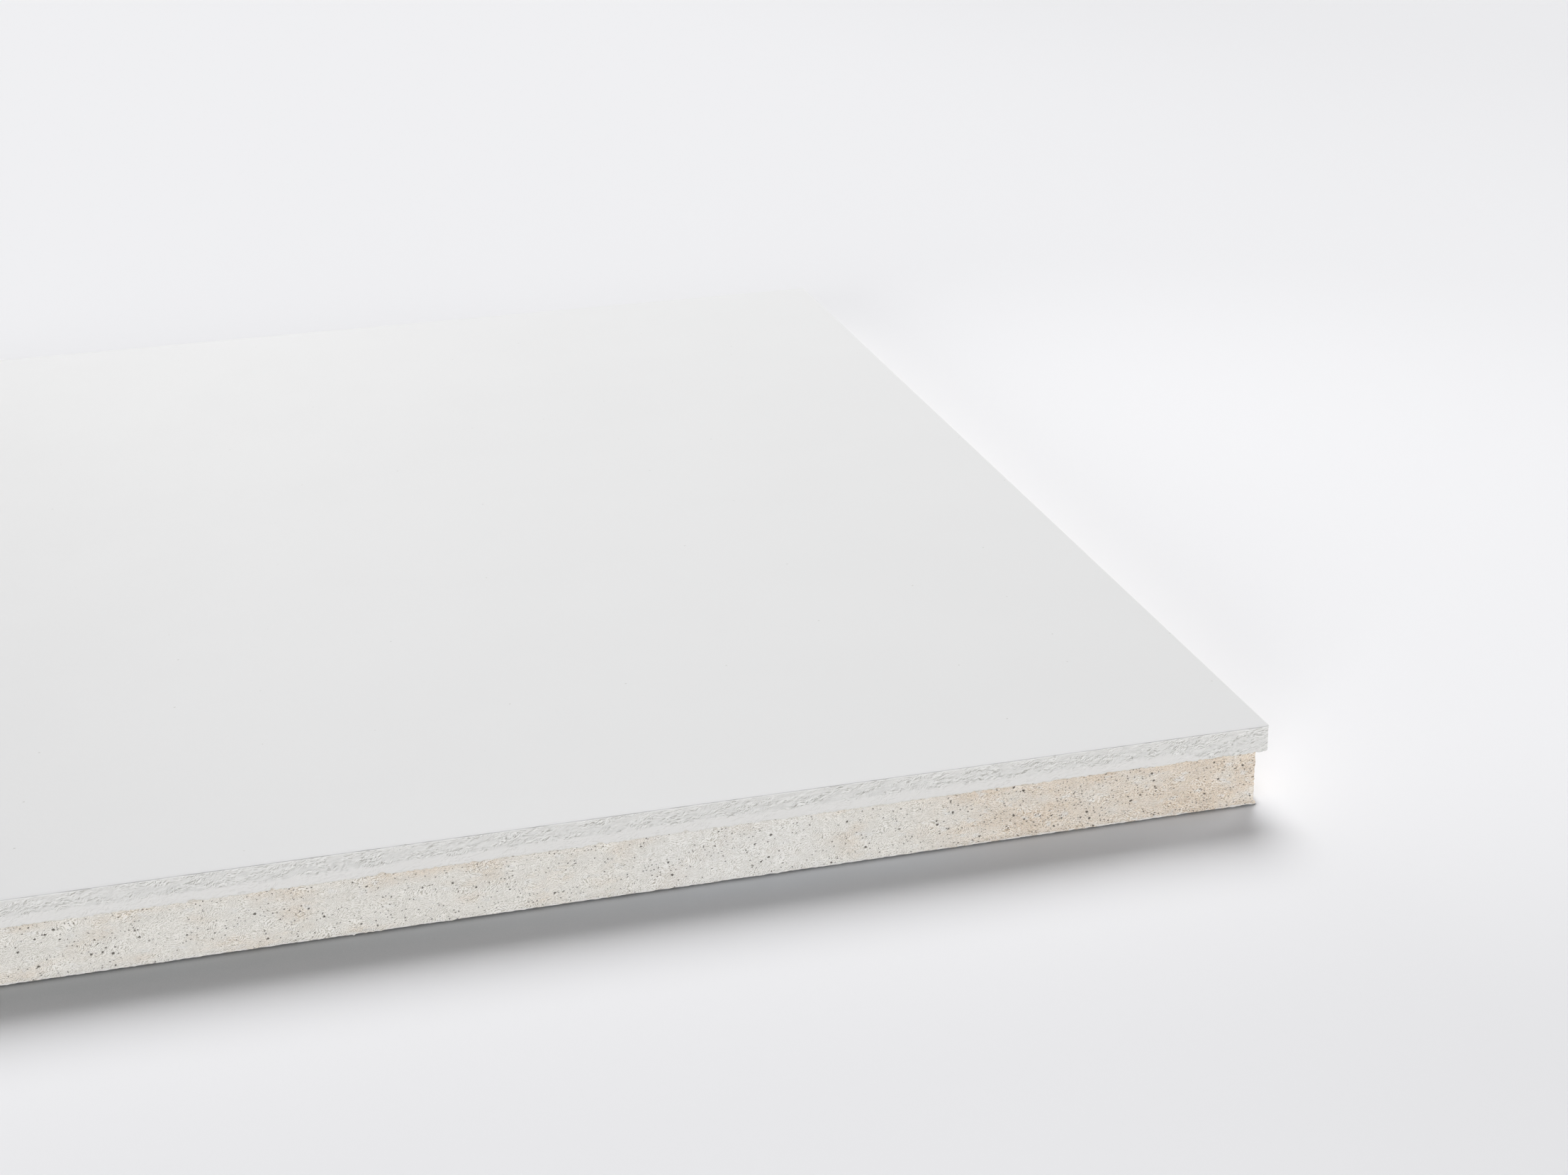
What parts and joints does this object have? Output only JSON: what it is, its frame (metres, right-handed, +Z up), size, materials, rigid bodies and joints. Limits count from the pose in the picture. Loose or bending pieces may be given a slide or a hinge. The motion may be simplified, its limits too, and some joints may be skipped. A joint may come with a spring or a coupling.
{
  "type": "acoustic ceiling tile",
  "caption": "Square mineral fibre ceiling panel, smooth white painted face over a raw beige core, with a stepped edge all round.",
  "frame": {"origin": "centre of the back face, where the panel rests on a floor", "axes": "+Z up out of the painted face, +X along the panel's length, +Y along its width"},
  "size_m": [0.603, 0.603, 0.0254],
  "materials": {
    "mineral_board": "raw mineral fibre, pale grey to beige with dark specks, bare below the step and on the back",
    "face_paint": "matt white latex paint, smooth on the face and soaked into the fibre on the lip's edge"
  },
  "bodies": {
    "root": {"tile_board": "mineral_board"}
  },
  "joints": []
}
